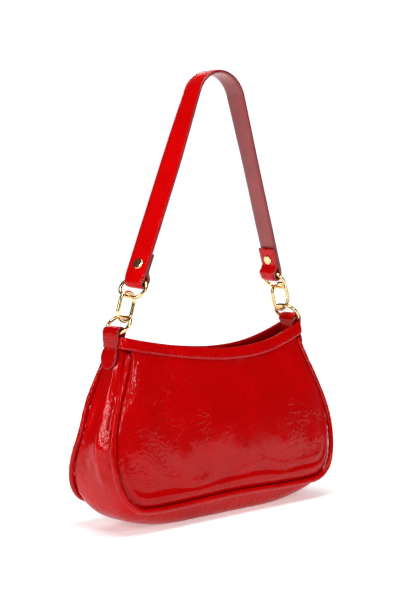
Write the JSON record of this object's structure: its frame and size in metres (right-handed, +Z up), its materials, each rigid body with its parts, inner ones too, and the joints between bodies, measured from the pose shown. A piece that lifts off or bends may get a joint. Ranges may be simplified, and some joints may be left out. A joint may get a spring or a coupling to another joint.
{
  "type": "shoulder bag",
  "caption": "Small soft baguette-shaped shoulder bag in crinkled patent leather, with piped seams, a recessed zip and a short strap on ring-and-link chains.",
  "frame": {"origin": "middle of the flat underside that the bag stands on", "axes": "+X along the bag towards its right end seen from the front, -Y out of the front panel, +Z up"},
  "size_m": [0.267, 0.0754, 0.384],
  "materials": {
    "patent_leather": "crinkled patent, high gloss",
    "backing_leather": "smooth, semi-gloss",
    "lining_cloth": "satin twill",
    "zip_tape": "woven tape",
    "gold_metal": "polished light gold plating",
    "board": "cloth-covered board"
  },
  "bodies": {
    "bag": {"front_panel": "patent_leather", "back_panel": "patent_leather", "gusset": "patent_leather", "front_piping": "patent_leather", "back_piping": "patent_leather", "mouth_binding": "patent_leather", "facing_front": "patent_leather", "facing_back": "patent_leather", "lining_front": "lining_cloth", "lining_back": "lining_cloth", "lining_gusset": "lining_cloth", "base_board": "board", "tab_left": "patent_leather", "tab_right": "patent_leather", "zip_stops": "gold_metal"},
    "zip_row_front": {"zip_tape_front": "zip_tape", "zip_teeth_front": "gold_metal"},
    "zip_row_back": {"zip_tape_back": "zip_tape", "zip_teeth_back": "gold_metal"},
    "slider": {"zip_slider": "gold_metal"},
    "pull": {"zip_pull": "gold_metal"},
    "lower_ring_left": {"bag_ring_left": "gold_metal"},
    "lower_ring_right": {"bag_ring_right": "gold_metal"},
    "chain_link_left": {"link_left": "gold_metal"},
    "chain_link_right": {"link_right": "gold_metal"},
    "strap": {"strap_outer": "patent_leather", "strap_backing": "backing_leather", "rivet_left": "gold_metal", "rivet_right": "gold_metal"},
    "upper_ring_left": {"strap_ring_left": "gold_metal"},
    "upper_ring_right": {"strap_ring_right": "gold_metal"}
  },
  "joints": [
    {"name": "link_swing", "type": "hinge", "parent": "bag", "child": "chain_link_left", "pos_m": [-0.097, 0, 0.1722], "axis": [1, 0, 0], "range_deg": [-70, 70]},
    {"name": "link_swing_right", "type": "hinge", "parent": "bag", "child": "chain_link_right", "pos_m": [0.097, 0, 0.1722], "axis": [1, 0, 0], "range_deg": [-70, 70]},
    {"name": "strap_swing", "type": "hinge", "parent": "chain_link_left", "child": "strap", "pos_m": [-0.08946, 0, 0.19541], "axis": [1, 0, 0], "range_deg": [-50, 50]},
    {"name": "lower_ring_play_left", "type": "hinge", "parent": "bag", "child": "lower_ring_left", "pos_m": [-0.10735, 0, 0.16235], "axis": [0, 1, 0], "range_deg": [-2, 1]},
    {"name": "lower_ring_play_right", "type": "hinge", "parent": "bag", "child": "lower_ring_right", "pos_m": [0.10735, 0, 0.16235], "axis": [0, -1, 0], "range_deg": [-2, 1]},
    {"name": "upper_ring_play_left", "type": "hinge", "parent": "strap", "child": "upper_ring_left", "pos_m": [-0.08005, 0, 0.20602], "axis": [-0.166, 0.9781, 0.1251], "range_deg": [-1.5, 1.5]},
    {"name": "upper_ring_play_right", "type": "hinge", "parent": "strap", "child": "upper_ring_right", "pos_m": [0.08005, 0, 0.20602], "axis": [0.0696, 0.9962, 0.0525], "range_deg": [-1.5, 1.5]},
    {"name": "zip_travel", "type": "hinge", "parent": "bag", "child": "slider", "pos_m": [0, 0, 0.506], "axis": [0, -1, 0], "range_deg": [0, 25.85], "deforming": ["zip_tape_front", "zip_tape_back", "zip_teeth_front", "zip_teeth_back"]},
    {"name": "zip_close_front", "type": "slide", "parent": "bag", "child": "zip_row_front", "axis": [0, 1, 0], "range_m": [0, 0.0069]},
    {"name": "zip_close_back", "type": "slide", "parent": "bag", "child": "zip_row_back", "axis": [0, -1, 0], "range_m": [0, 0.0069]},
    {"name": "pull_flip", "type": "hinge", "parent": "slider", "child": "pull", "pos_m": [-0.08611, -0.003, 0.13989], "axis": [0, -1, 0], "range_deg": [0, 150]}
  ],
  "couplings": [
    {"joint": "link_swing_right", "follows": "link_swing", "ratio": 1},
    {"joint": "zip_close_front", "follows": "zip_travel", "m_per_rad": 0.015294},
    {"joint": "zip_close_back", "follows": "zip_travel", "m_per_rad": 0.015294}
  ]
}
